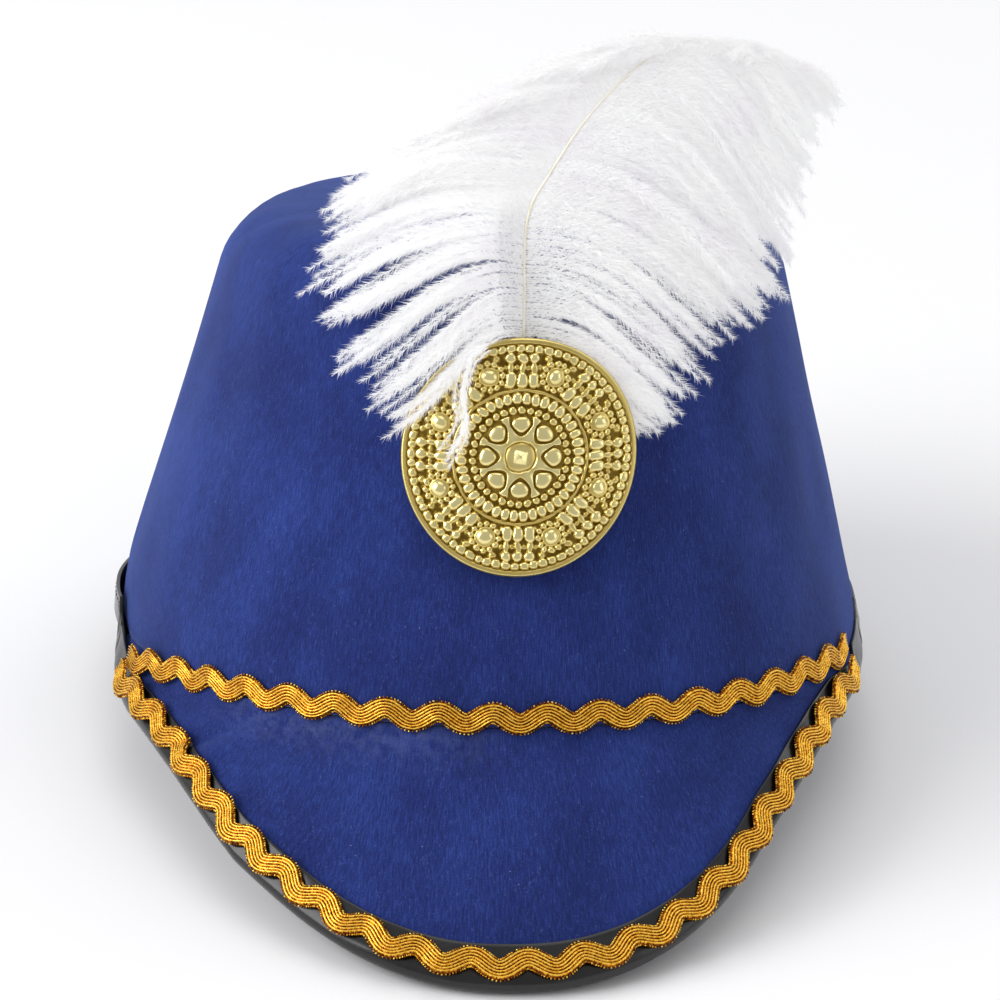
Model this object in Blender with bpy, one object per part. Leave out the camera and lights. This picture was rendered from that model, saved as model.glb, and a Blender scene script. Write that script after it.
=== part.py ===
"""A marching band hat: a tapered felt crown with a felt peak, a patent binding along its whole lower edge,
two runs of gold ric-rac braid, and an ostrich plume held behind a stamped gilt medallion.

The hat is drawn upright, with its rim at height 0 and its front towards -Y. The empty named hat then leans it
back until it stands on the peak's front edge and on the back of the rim. Lengths are in metres and angles in
degrees. Round the hat, angle 0 is the front and 90 is the side at +X. A place on its skin is (angle, along,
off): along is 0 at the rim, grows down the peak and is negative up the wall, and off is the height above it.
"""

import math

import bmesh
import bpy
from mathutils import Matrix, Vector

# Crown: a cone of moulded felt with a rounded shoulder and a nearly flat top
RIM_HALF_WIDTH = 0.0936
RIM_HALF_LENGTH = 0.0970
CROWN_HEIGHT = 0.1035
WALL_LEAN = 15.2
SHOULDER_RADIUS = 0.0190
TOP_DOME = 0.0025
TOP_SHIFT_RIGHT = 0.0033
BASE_TUCK = 0.0026
BASE_TUCK_HEIGHT = 0.0180
FELT_THICKNESS = 0.0026

# Peak: a pointed crescent of board covered with the same felt
PEAK_LENGTH = 0.0616
PEAK_END_LENGTH = 0.0086
PEAK_SPREAD = 38.2
PEAK_NARROWING = 2.2
PEAK_LEFT_FULLNESS = 0.0029
PEAK_FULL_ANGLE = 33.0
PEAK_FULLNESS_CURVE = 4
PEAK_SLOPE = 50.0
PEAK_SIDE_STEEPENING = 2.5
PEAK_HALF_ANGLE = 78.0
PEAK_ROUND_ANGLE = 63.0
PEAK_ROUND_END = 80.0
PEAK_BEND_LENGTH = 0.0060
PEAK_FELT_THICKNESS = 0.0011

# Patent binding folded over the lower edge
BINDING_THICKNESS = 0.0009
PEAK_BINDING_WIDTH = 0.0093
PEAK_BINDING_END_WIDTH = 0.0075
RIM_BINDING_WIDTH = 0.0080

# Ric-rac braid
BRAID_WIDTH = 0.0050
BRAID_THICKNESS = 0.0011
BRAID_WAVE_HEIGHT = 0.0029
BRAID_WAVE_LENGTH = 0.0126
SEAM_BRAID_RISE = 0.0020
SEAM_BRAID_LEFT_DIP = 0.0055
SEAM_BRAID_DIP_CURVE = 5
PEAK_BRAID_INSET = 0.0042
PEAK_BRAID_DRIFT = 0.0006
BRAID_LEFT_END = -70.0
BRAID_RIGHT_END = 66.0
BRAID_CLIMB_START = -54.0
BRAID_CLIMB_END = -62.0
BRAID_END_CLEARANCE = 3.0

# Medallion, bent to the crown, and the pad that carries it
MEDALLION_WIDTH = 0.0523
MEDALLION_HEIGHT = 0.0546
MEDALLION_RISE = 0.0620
MEDALLION_ANGLE = 0.7
MEDALLION_SHEET = 0.0008
MEDALLION_RELIEF = 0.0017
MEDALLION_STANDOFF = 0.0032
PAD_DIAMETER = 0.0100

# The medallion's bands from its rim inwards: inner edge as a share of its radius, height as a share of its relief
RELIEF_BANDS = (
    (0.985, 0.0),
    (0.94, 0.45),
    (0.86, 0.65),
    (0.62, 0.35),
    (0.48, 0.75),
    (0.20, 0.45),
    (0.0, 0.5),
)
RAISED_FORMS = 8
BOSS_RING = 0.73
BOSS_REACH = 0.10
BOSS_RISE = 0.55
PETAL_RING = (0.20, 0.38)
PETAL_RISE = 0.35
DOME_REACH = 0.16
DOME_RISE = 0.5

# Plume: a quill behind the medallion, with locks of barbs on both sides
PLUME_LENGTH = 0.1020
PLUME_BOW_RADIUS = 0.0900
QUILL_DIAMETER = 0.0022
LOCK_THICKNESS = 0.0009
LOCKS_A_SIDE = 13
LOCK_CLOSING = 0.9
LOCK_CLOSING_CURVE = 1.5
BARB_BEND = 0.22
QUILL_TAPER = 0.6

# Gap left between pieces that touch, and how far the rim's fold is pressed flat where it stands
GAP = 0.0003
PRESSED_FLAT = 0.0005

# Steps of the lofts, and the angle from which an edge stays sharp
CROWN_STEPS = 48
SHOULDER_STEPS = 5
PEAK_STEPS = 40
RIM_BINDING_STEPS = 40
STEPS_A_WAVE = 8
BRAID_ROUTE_STEPS = 240
MEDALLION_STEPS = 36
PAD_STEPS = 16
SHARP_ANGLE = 40.0


def rim_point(angle):
    a = math.radians(angle)
    return Vector((RIM_HALF_WIDTH * math.sin(a), -RIM_HALF_LENGTH * math.cos(a), 0))


def rim_outward(angle):
    a = math.radians(angle)
    return Vector((RIM_HALF_LENGTH * math.sin(a), -RIM_HALF_WIDTH * math.cos(a), 0)).normalized()


def edge(angle):
    """How far the lower edge lies below the rim: the peak's length in front, and nothing at the back."""
    around = abs(angle)
    if around >= PEAK_ROUND_END:
        return 0.0
    narrowing = math.exp(-((around / PEAK_SPREAD) ** PEAK_NARROWING))
    length = PEAK_END_LENGTH + (PEAK_LENGTH - PEAK_END_LENGTH) * narrowing
    fullness = PEAK_LEFT_FULLNESS * min(around / PEAK_FULL_ANGLE, 1) ** PEAK_FULLNESS_CURVE
    length -= math.copysign(fullness, angle)
    if around > PEAK_ROUND_ANGLE:
        rounding = (around - PEAK_ROUND_ANGLE) / (PEAK_ROUND_END - PEAK_ROUND_ANGLE)
        length *= math.sqrt(1 - rounding**2)
    return length


def seam_braid_middle(angle):
    """The line of the upper braid, which dips at its left end to meet the lower one."""
    sweep = max(angle / BRAID_LEFT_END, 0) ** SEAM_BRAID_DIP_CURVE
    return SEAM_BRAID_LEFT_DIP * sweep - SEAM_BRAID_RISE


def braid_lift(angle):
    """Both braids climb onto the binding before their left end."""
    climbed = (angle - BRAID_CLIMB_START) / (BRAID_CLIMB_END - BRAID_CLIMB_START)
    return (BINDING_THICKNESS + GAP) * min(max(climbed, 0), 1)


def peak_braid_middle(angle):
    """The line of the lower braid, nearer the edge on the right than on the left."""
    return edge(angle) - PEAK_BRAID_INSET + PEAK_BRAID_DRIFT * math.sin(math.radians(2 * angle))


def binding_width(angle):
    if abs(angle) > PEAK_HALF_ANGLE:
        return RIM_BINDING_WIDTH
    share = min(abs(angle) / PEAK_ROUND_ANGLE, 1) ** 2
    width = PEAK_BINDING_WIDTH + (PEAK_BINDING_END_WIDTH - PEAK_BINDING_WIDTH) * share
    if BRAID_CLIMB_END <= angle <= BRAID_RIGHT_END + BRAID_END_CLEARANCE:
        seam_braid_low = seam_braid_middle(angle) + (BRAID_WAVE_HEIGHT + BRAID_WIDTH) / 2
        width = min(width, edge(angle) - seam_braid_low - GAP)
    return min(width, edge(angle) - GAP)


def profile(angle, along):
    """(outward, up, steepness below level) of the skin at a place."""
    wall = math.radians(90 - WALL_LEAN)
    if along <= 0:
        return along * math.cos(wall), -along * math.sin(wall), wall
    steepening = min(abs(angle) / 90, 1) ** PEAK_SIDE_STEEPENING
    slope = math.radians(PEAK_SLOPE) + (wall - math.radians(PEAK_SLOPE)) * steepening
    bent = min(along, PEAK_BEND_LENGTH)
    now = wall + (slope - wall) * bent / PEAK_BEND_LENGTH
    middle = (wall + now) / 2
    rest = along - bent
    out = bent * math.cos(middle) + rest * math.cos(now)
    return out, -bent * math.sin(middle) - rest * math.sin(now), now


def skin(angle, along, off=0.0):
    out, up, steepness = profile(angle, along)
    out += off * math.sin(steepness)
    up += off * math.cos(steepness)
    if along > -BASE_TUCK_HEIGHT:
        low = min(1 + along / BASE_TUCK_HEIGHT, 1) ** 2
        out -= BASE_TUCK * low * (1 - math.sin(math.radians(angle))) / 2
    point = rim_point(angle) + rim_outward(angle) * out
    point.x += TOP_SHIFT_RIGHT * max(up, 0) / CROWN_HEIGHT
    point.z = up
    return point


def around_scale(angle, along):
    """Metres along the skin for each degree round it."""
    return (skin(angle + 0.5, along) - skin(angle - 0.5, along)).length


def material(name, colour, roughness, metallic=0.0):
    made = bpy.data.materials.new(name)
    made.use_nodes = True
    shader = made.node_tree.nodes["Principled BSDF"]
    shader.inputs["Base Color"].default_value = (*colour, 1)
    shader.inputs["Roughness"].default_value = roughness
    shader.inputs["Metallic"].default_value = metallic
    return made


def add_object(name, bm, finish):
    bmesh.ops.recalc_face_normals(bm, faces=bm.faces)
    mesh = bpy.data.meshes.new(name)
    bm.to_mesh(mesh)
    bm.free()
    mesh.shade_smooth()
    mesh.set_sharp_from_angle(angle=math.radians(SHARP_ANGLE))
    mesh.materials.append(finish)
    made = bpy.data.objects.new(name, mesh)
    bpy.context.scene.collection.objects.link(made)
    made.parent = stand
    return made


def loft(name, loops, finish):
    """One solid through equal loops of points, capped at both ends."""
    bm = bmesh.new()
    rows = [[bm.verts.new(point) for point in loop] for loop in loops]
    for here, there in zip(rows, rows[1:]):
        for i, corner in enumerate(here):
            j = (i + 1) % len(here)
            bm.faces.new((corner, here[j], there[j], there[i]))
    bm.faces.new(rows[0][::-1])
    bm.faces.new(rows[-1])
    return add_object(name, bm, finish)


def make_crown():
    """Lofted from the top's middle outside, down to the rim, round its edge and back up inside."""
    lean = math.radians(WALL_LEAN)
    wall = (CROWN_HEIGHT - SHOULDER_RADIUS * (1 - math.sin(lean))) / math.cos(lean)
    angles = [360 * i / CROWN_STEPS for i in range(CROWN_STEPS)]

    def wall_ring(share, off):
        return [skin(a, -share * wall, off) for a in angles]

    def shoulder_ring(facing, off):
        ring = []
        for a in angles:
            out = SHOULDER_RADIUS * math.cos(lean) - (SHOULDER_RADIUS + off) * math.cos(facing)
            up = (SHOULDER_RADIUS + off) * math.sin(facing) - SHOULDER_RADIUS * math.sin(lean)
            point = skin(a, -wall) - rim_outward(a) * out
            point.z += up
            ring.append(point)
        return ring

    def top_ring(share, off):
        flat = shoulder_ring(math.radians(90), off)
        middle = sum(flat, Vector()) / len(flat)
        ring = [middle.lerp(point, share) for point in flat]
        for point in ring:
            point.z += TOP_DOME * (1 - share**2)
        return ring

    def face(off):
        facings = [math.radians(90 - (90 - WALL_LEAN) * i / SHOULDER_STEPS) for i in range(SHOULDER_STEPS)]
        rings = [top_ring(share, off) for share in (0.06, 0.5, 0.85)]
        rings += [shoulder_ring(facing, off) for facing in facings]
        rings += [wall_ring(share, off) for share in (1, (1 + BASE_TUCK_HEIGHT / wall) / 2)]
        return rings + [wall_ring(share * BASE_TUCK_HEIGHT / wall, off) for share in (1, 0.66, 0.33, 0)]

    return loft("crown", face(0) + face(-FELT_THICKNESS)[::-1], felt)


def peak_angle(step):
    share = 2 * step / PEAK_STEPS - 1
    return PEAK_HALF_ANGLE * (share + math.sin(math.pi / 2 * share)) / 2


def make_peak_layer(name, top, bottom, finish):
    """One layer of the peak, between two depths under its skin."""
    shares = (0, 0.08, 0.16, 0.45, 0.75, 1)
    loops = []
    for i in range(PEAK_STEPS + 1):
        angle = peak_angle(i)
        alongs = [GAP + (edge(angle) - GAP) * share for share in shares]
        upper = [skin(angle, along, -top) for along in alongs]
        lower = [skin(angle, along, -bottom) for along in reversed(alongs)]
        loops.append(upper + lower)
    return loft(name, loops, finish)


def make_binding(name, angles):
    """A strip folded round the lower edge."""
    inside = -FELT_THICKNESS - GAP
    outside = GAP + BINDING_THICKNESS
    deep = inside - BINDING_THICKNESS
    loops = []
    for angle in angles:
        low = edge(angle) + GAP
        top = edge(angle) - binding_width(angle)
        half = (top + low) / 2
        floor = low + BINDING_THICKNESS
        section = [(top, outside), (half, outside), (low, outside), (floor, GAP), (floor, inside)]
        section += [(low, deep), (half, deep), (top, deep), (top, inside), (half, inside), (low, inside)]
        section += [(low, GAP), (half, GAP), (top, GAP)]
        loops.append([skin(angle, along, off) for along, off in section])
    return loft(name, loops, patent)


def rim_binding_angles():
    """From one end of the peak round the back to the other, leaving a gap to the peak's own binding."""
    first = PEAK_HALF_ANGLE + math.degrees(GAP / RIM_HALF_WIDTH)
    step = (360 - 2 * first) / RIM_BINDING_STEPS
    return [first + step * i for i in range(RIM_BINDING_STEPS + 1)]


def make_braid(name, middle, off):
    """Ric-rac along the line middle(angle), which waves evenly by its length along the skin."""
    reach = BRAID_RIGHT_END - BRAID_LEFT_END
    angles = [BRAID_LEFT_END + reach * i / BRAID_ROUTE_STEPS for i in range(BRAID_ROUTE_STEPS + 1)]
    lengths = [0.0]
    for a, b in zip(angles, angles[1:]):
        lengths.append(lengths[-1] + (skin(b, middle(b), off) - skin(a, middle(a), off)).length)
    waves = round(lengths[-1] / BRAID_WAVE_LENGTH)
    loops = []
    place = 0
    for i in range(waves * STEPS_A_WAVE + 1):
        target = lengths[-1] * i / (waves * STEPS_A_WAVE)
        while place < BRAID_ROUTE_STEPS - 1 and lengths[place + 1] < target:
            place += 1
        share = (target - lengths[place]) / (lengths[place + 1] - lengths[place])
        angle = angles[place] + (angles[place + 1] - angles[place]) * share
        scale = around_scale(angle, middle(angle))
        route = Vector((scale, middle(angle + 0.5) - middle(angle - 0.5))).normalized()
        across = Vector((-route.y, route.x))
        phase = 2 * math.pi * i / STEPS_A_WAVE
        climb = math.pi * BRAID_WAVE_HEIGHT * waves / lengths[-1] * math.sin(phase)
        centre = across * (-BRAID_WAVE_HEIGHT / 2 * math.cos(phase))
        side = (across - route * climb).normalized() * BRAID_WIDTH / 2
        low = off + braid_lift(angle)
        high = low + BRAID_THICKNESS
        corners = ((centre + side, low), (centre + side, high), (centre - side, high), (centre - side, low))
        loops.append([skin(angle + p.x / scale, middle(angle) + p.y, height) for p, height in corners])
    return loft(name, loops, gold_braid)


def medallion_place(right, up, off):
    """A point over the crown, right and up from the medallion's middle along the skin."""
    along = -MEDALLION_RISE - up
    return skin(MEDALLION_ANGLE + right / around_scale(MEDALLION_ANGLE, along), along, off)


def relief(share, turn):
    """The medallion's pattern at a share of its radius, from 0 to 1 in height: two plain borders, eight
    bosses, a ridge, a ring of beads, eight petals and a domed middle. The fine beads are left to the look."""
    eighth = math.cos(RAISED_FORMS / 2 * turn)
    height = next(level for inner, level in RELIEF_BANDS if share >= inner)
    boss = 1 - ((share - BOSS_RING) / BOSS_REACH) ** 2
    if boss > 0:
        height += BOSS_RISE * boss * max(0, -eighth)
    if PETAL_RING[0] < share <= PETAL_RING[1]:
        height += PETAL_RISE * max(0, eighth)
    return height + DOME_RISE * max(0, 1 - (share / DOME_REACH) ** 2)


def make_medallion():
    wide, tall = MEDALLION_WIDTH / 2, MEDALLION_HEIGHT / 2
    turns = [2 * math.pi * i / MEDALLION_STEPS for i in range(MEDALLION_STEPS)]
    shares = (0.02, 0.1, 0.17, 0.24, 0.30, 0.36, 0.42, 0.49, 0.59, 0.65, 0.73, 0.81, 0.88, 0.93, 0.97, 1.0)
    base = MEDALLION_STANDOFF + MEDALLION_SHEET

    def ring(share, height):
        places = [(wide * share * math.cos(t), tall * share * math.sin(t)) for t in turns]
        return [medallion_place(right, up, height(t)) for (right, up), t in zip(places, turns)]

    front = [ring(s, lambda t, s=s: base + MEDALLION_RELIEF * relief(s, t)) for s in shares]
    back = [ring(s, lambda t: MEDALLION_STANDOFF) for s in (1.0, 0.5, 0.02)]
    return loft("medallion", front + back, gilt)


def make_pad():
    radius = PAD_DIAMETER / 2
    turns = [2 * math.pi * i / PAD_STEPS for i in range(PAD_STEPS)]
    heights = (GAP, MEDALLION_STANDOFF - GAP)
    rings = [[medallion_place(radius * math.cos(t), radius * math.sin(t), h) for t in turns] for h in heights]
    return loft("medallion_pad", rings, plain_metal)


# The plume's line and the tips of its locks: shares of PLUME_LENGTH right and up from the medallion's middle
QUILL_SHARES = (
    (0.00, 0.12),
    (0.00, 0.33),
    (0.00, 0.53),
    (0.05, 0.64),
    (0.15, 0.79),
    (0.28, 0.91),
    (0.42, 0.95),
    (0.60, 0.90),
)
LEFT_TIP_SHARES = (
    (-0.25, 0.04),
    (-0.39, 0.18),
    (-0.46, 0.34),
    (-0.49, 0.50),
    (-0.40, 0.63),
    (-0.18, 0.80),
    (0.08, 0.93),
    (0.45, 0.955),
)
RIGHT_TIP_SHARES = (
    (0.28, 0.03),
    (0.41, 0.14),
    (0.52, 0.28),
    (0.58, 0.40),
    (0.55, 0.55),
    (0.56, 0.70),
    (0.62, 0.78),
    (0.80, 0.86),
)


def table_point(table, share):
    """A smooth curve through a table's points, at a share of its steps."""
    at = min(max(share, 0), 1) * (len(table) - 1)
    i = min(int(at), len(table) - 2)
    t = at - i
    points = [Vector(table[min(max(k, 0), len(table) - 1)]) for k in (i - 1, i, i + 1, i + 2)]
    a, b, c, d = points
    return 0.5 * (2 * b + (c - a) * t + (2 * a - 5 * b + 4 * c - d) * t**2 + (3 * b - a - 3 * c + d) * t**3)


def barb_point(tips, along_quill, out):
    """Where the barb from this share of the quill lies, at a share of its own length."""
    root = table_point(QUILL_SHARES, along_quill)
    tip = table_point(tips, along_quill)
    step = 1 / (2 * LOCKS_A_SIDE)
    ahead = table_point(QUILL_SHARES, along_quill + step) - table_point(QUILL_SHARES, along_quill - step)
    bend = root.lerp(tip, 0.5) + ahead.normalized() * (tip - root).length * BARB_BEND
    return root * (1 - out) ** 2 + bend * 2 * out * (1 - out) + tip * out**2


def plume_place(point, off):
    """Stands the flat plume up against the crown's wall, bowed back at its sides."""
    lean = math.radians(WALL_LEAN)
    right, up = point * PLUME_LENGTH
    foot = medallion_place(0, 0, QUILL_DIAMETER / 2 + GAP + off)
    upward = Vector((TOP_SHIFT_RIGHT / CROWN_HEIGHT, math.sin(lean), math.cos(lean)))
    back = Vector((0, math.cos(lean), -math.sin(lean)))
    return foot + Vector((right, 0, 0)) + upward * up + back * right**2 / (2 * PLUME_BOW_RADIUS)


def make_plume():
    """A thin sheet on each side of the quill, whole near it and parted further out into tapering locks."""
    whole = (0.0, 0.1, 0.4)
    parted = (0.6, 0.8, 1.0)
    quill, half = QUILL_DIAMETER / 2, LOCK_THICKNESS / 2
    bm = bmesh.new()
    corners = {}

    def corner(side, row, column, lock=None):
        tips = LEFT_TIP_SHARES if side < 0 else RIGHT_TIP_SHARES
        share = row / (2 * LOCKS_A_SIDE)
        out = (whole + parted)[column]
        if lock is not None:
            middle = (2 * lock + 1) / (2 * LOCKS_A_SIDE)
            closing = (out - whole[-1]) / (1 - whole[-1])
            share = middle + (share - middle) * (1 - LOCK_CLOSING * closing**LOCK_CLOSING_CURVE)
        key = (side if column else 0, row, column, lock)
        if key not in corners:
            thick = quill * (1 - QUILL_TAPER * share) if column == 0 else half
            place = barb_point(tips, share, out)
            corners[key] = [bm.verts.new(plume_place(place, off)) for off in (thick, -thick)]
        return corners[key]

    def panel(a, b, c, d):
        bm.faces.new([v[0] for v in (a, b, c, d)])
        bm.faces.new([v[1] for v in (d, c, b, a)])
        for near, far in ((a, b), (b, c), (c, d), (d, a)):
            rims.setdefault(frozenset((near[0], far[0])), []).append((near, far))

    rims = {}
    for side in (-1, 1):
        for row in range(2 * LOCKS_A_SIDE):
            lock = row // 2
            for column in range(len(whole) + len(parted) - 1):
                near = lock if column >= len(whole) else None
                far = lock if column + 1 >= len(whole) else None
                loop = [corner(side, row, column, near), corner(side, row, column + 1, far)]
                loop += [corner(side, row + 1, column + 1, far), corner(side, row + 1, column, near)]
                panel(*(loop if side > 0 else loop[::-1]))
    for used in rims.values():
        if len(used) == 1:
            (near, far), = used
            bm.faces.new((near[0], near[1], far[1], far[0]))
    return add_object("plume", bm, feather)


def stand_up(pieces):
    """Leans the hat back until the peak's edge and the pressed back of the rim are level, then sets it on the
    floor over the origin."""
    peak_edge = [v.co.copy() for v in pieces["peak_binding"].data.vertices]
    rim_edge = [v.co.copy() for v in pieces["rim_binding"].data.vertices if v.co.y > 0]
    low, high = 0.0, 40.0
    for _ in range(50):
        lean = (low + high) / 2
        turn = Matrix.Rotation(math.radians(-lean), 3, "X")
        front = min((turn @ p).z for p in peak_edge)
        back = min((turn @ p).z for p in rim_edge) + PRESSED_FLAT
        low, high = (lean, high) if front < back else (low, lean)
    for vertex in pieces["rim_binding"].data.vertices:
        placed = turn @ vertex.co
        placed.z = max(placed.z, front)
        vertex.co = turn.transposed() @ placed
    corners = [turn @ v.co for piece in pieces.values() for v in piece.data.vertices]
    middle = [(min(p[i] for p in corners) + max(p[i] for p in corners)) / 2 for i in (0, 1)]
    stand.rotation_euler.x = math.radians(-lean)
    stand.location = (-middle[0], -middle[1], -front)


for old in list(bpy.data.objects):
    bpy.data.objects.remove(old)
felt = material("blue_felt", (0.035, 0.062, 0.24), 0.9)
board = material("black_board", (0.02, 0.02, 0.022), 0.8)
patent = material("black_patent", (0.02, 0.018, 0.018), 0.2)
gold_braid = material("gold_braid", (0.75, 0.45, 0.06), 0.35, 0.9)
gilt = material("gilt_metal", (0.78, 0.62, 0.30), 0.35, 1.0)
plain_metal = material("pad_metal", (0.5, 0.4, 0.2), 0.5, 1.0)
feather = material("white_feather", (0.85, 0.82, 0.84), 0.7)
stand = bpy.data.objects.new("hat", None)
bpy.context.scene.collection.objects.link(stand)

BRAID_ON_BINDING = GAP + max(BINDING_THICKNESS, BRAID_THICKNESS) + GAP
made = [
    make_crown(),
    make_peak_layer("peak_felt", 0, PEAK_FELT_THICKNESS, felt),
    make_peak_layer("peak_board", PEAK_FELT_THICKNESS + GAP, FELT_THICKNESS, board),
    make_binding("peak_binding", [peak_angle(i) for i in range(PEAK_STEPS + 1)]),
    make_binding("rim_binding", rim_binding_angles()),
    make_braid("seam_braid", seam_braid_middle, GAP),
    make_braid("peak_braid", peak_braid_middle, BRAID_ON_BINDING),
    make_medallion(),
    make_pad(),
    make_plume(),
]
stand_up({piece.name: piece for piece in made})
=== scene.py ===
import math

import bmesh
import bpy
import numpy as np
from mathutils import Matrix, Vector

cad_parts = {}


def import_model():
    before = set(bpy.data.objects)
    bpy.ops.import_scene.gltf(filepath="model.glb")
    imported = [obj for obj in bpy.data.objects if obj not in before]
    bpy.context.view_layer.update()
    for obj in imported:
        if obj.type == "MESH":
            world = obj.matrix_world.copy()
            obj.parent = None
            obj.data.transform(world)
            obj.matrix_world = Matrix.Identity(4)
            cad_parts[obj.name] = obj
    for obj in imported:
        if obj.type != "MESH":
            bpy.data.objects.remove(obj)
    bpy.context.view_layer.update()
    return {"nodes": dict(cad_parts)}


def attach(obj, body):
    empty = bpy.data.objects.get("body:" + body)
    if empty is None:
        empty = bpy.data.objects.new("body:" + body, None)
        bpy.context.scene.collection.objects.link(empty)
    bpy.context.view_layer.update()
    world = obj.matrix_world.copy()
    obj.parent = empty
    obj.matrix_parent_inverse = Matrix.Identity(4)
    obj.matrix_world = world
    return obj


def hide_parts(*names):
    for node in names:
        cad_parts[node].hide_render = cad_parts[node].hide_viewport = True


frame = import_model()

# A marching band hat in blue felt, dressed over its solids. Lengths are in metres and angles in degrees.
# The hat is worked out upright, rim at height 0 and front towards -Y, and then leaned back as it stands.
stood = {"lean": -0.21543587744235992, "at": (-0.0012997165, 0.0238051750, 0.0213010833)}
toWorld = np.array(Matrix.Rotation(stood["lean"], 3, "X"))

crown = {
    "halfWidth": 0.0936, "halfLength": 0.0970, "height": 0.1035, "wallLean": 15.2, "shoulder": 0.0190,
    "dome": 0.0025, "shiftRight": 0.0033, "tuck": 0.0026, "tuckHeight": 0.0180, "thick": 0.0026,
    "columns": 170, "rows": 66, "rowCurve": 0.94, "topReach": 0.052,
}
peak = {
    "length": 0.0616, "endLength": 0.0086, "spread": 38.2, "narrowing": 2.2, "leftFullness": 0.0029,
    "fullAngle": 33.0, "fullnessCurve": 4, "slope": 50.0, "steepening": 2.5, "halfAngle": 78.0,
    "roundAngle": 63.0, "roundEnd": 80.0, "bendLength": 0.0060, "thick": 0.0011, "edgeGap": 0.0004,
    "columns": 170, "rows": 42,
}
gap = 0.0003
rimPerDegree = 0.00165  # metres round the rim


def world(points):
    return np.asarray(points) @ toWorld.T + np.array(stood["at"])


def smoothStep(x, low, high):
    t = np.clip((x - low) / (high - low), 0, 1)
    return t * t * (3 - 2 * t)


# Soft unevenness from -1 to 1 with features about 1 across.
def ripple(x, y, seed, count=7):
    own = np.random.default_rng(seed)
    total = 0
    for _ in range(count):
        turn, size, phase = own.uniform(0, 2 * np.pi), own.uniform(0.6, 1.7), own.uniform(0, 2 * np.pi)
        total = total + np.sin((x * np.cos(turn) + y * np.sin(turn)) * 2 * np.pi / size + phase)
    return total / math.sqrt(count) / 1.4


def rimPoint(angle):
    a = np.radians(angle)
    return np.stack([crown["halfWidth"] * np.sin(a), -crown["halfLength"] * np.cos(a), a * 0], -1)


def rimOutward(angle):
    a = np.radians(angle)
    out = np.stack([crown["halfLength"] * np.sin(a), -crown["halfWidth"] * np.cos(a), a * 0], -1)
    return out / np.linalg.norm(out, axis=-1, keepdims=True)


# How far the lower edge lies below the rim.
def edgeDepth(angle):
    angle = np.asarray(angle, float)
    around = np.abs(angle)
    narrowing = np.exp(-((around / peak["spread"]) ** peak["narrowing"]))
    length = peak["endLength"] + (peak["length"] - peak["endLength"]) * narrowing
    fullness = peak["leftFullness"] * np.minimum(around / peak["fullAngle"], 1) ** peak["fullnessCurve"]
    length = length - np.sign(angle) * fullness
    rounding = np.clip((around - peak["roundAngle"]) / (peak["roundEnd"] - peak["roundAngle"]), 0, 1)
    return np.where(around >= peak["roundEnd"], 0.0, length * np.sqrt(1 - rounding**2))


# the felt's soft swell: height, and size round the hat and up it
feltSwell = {"crown": (0.00022, 0.030, 0.040), "peak": (0.00030, 0.024, 0.034)}
# folds and dents: at (angle, metres below the rim), size along and across, height
feltFolds = [
    {"at": (-47, 0.0140), "turn": -35, "size": (0.0130, 0.0016), "high": -0.0014},
    {"at": (-45, 0.0175), "turn": -35, "size": (0.0140, 0.0026), "high": 0.0009},
    {"at": (45, 0.0200), "turn": 60, "size": (0.0110, 0.0045), "high": -0.0009},
    {"at": (-8, 0.0330), "turn": 88, "size": (0.0120, 0.0030), "high": -0.0005},
    {"at": (-2, 0.0360), "turn": 84, "size": (0.0120, 0.0040), "high": 0.0004},
    {"at": (18, 0.0300), "turn": 95, "size": (0.0140, 0.0050), "high": -0.0004},
]


# Height of the felt's soft dents and folds above its plain form.
def unevenness(angle, along):
    x, y = angle * rimPerDegree, along
    (high, wide, tall), (peakHigh, peakWide, peakTall) = feltSwell["crown"], feltSwell["peak"]
    height = high * ripple(x / wide, y / tall, 3) * smoothStep(-along, 0.0, 0.02)
    height = height + peakHigh * ripple(x / peakWide, y / peakTall, 5) * smoothStep(along, 0.004, 0.016)
    for fold in feltFolds:
        a, b = np.radians(fold["turn"]), fold["size"]
        dx, dy = (angle - fold["at"][0]) * rimPerDegree, along - fold["at"][1]
        u, v = dx * np.cos(a) + dy * np.sin(a), dy * np.cos(a) - dx * np.sin(a)
        height = height + fold["high"] * np.exp(-((u / b[0]) ** 2) - ((v / b[1]) ** 2))
    height = height * (1 - smoothStep(along, edgeDepth(angle) - 0.010, edgeDepth(angle) - 0.002))
    # it dies away to the back, where the angle starts anew, and to the middle of the top
    height = height * (1 - smoothStep(np.abs(angle), 130, 178))
    return height * (1 - smoothStep(-along, wallLength, wallLength + 0.040))


# Out from the rim, up, and the slope, at metres below the rim: down the wall and over the bend to the peak.
def profile(angle, along):
    wall = np.radians(90 - crown["wallLean"])
    steepening = np.minimum(np.abs(angle) / 90, 1) ** peak["steepening"]
    slope = np.radians(peak["slope"]) + (wall - np.radians(peak["slope"])) * steepening
    bent = np.clip(along, 0, peak["bendLength"])
    now = wall + (slope - wall) * bent / peak["bendLength"]
    middle = (wall + now) / 2
    rest = np.maximum(along, 0) - bent
    above = np.minimum(along, 0)
    out = above * np.cos(wall) + bent * np.cos(middle) + rest * np.cos(now)
    up = -above * np.sin(wall) - bent * np.sin(middle) - rest * np.sin(now)
    return out, up, now


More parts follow.
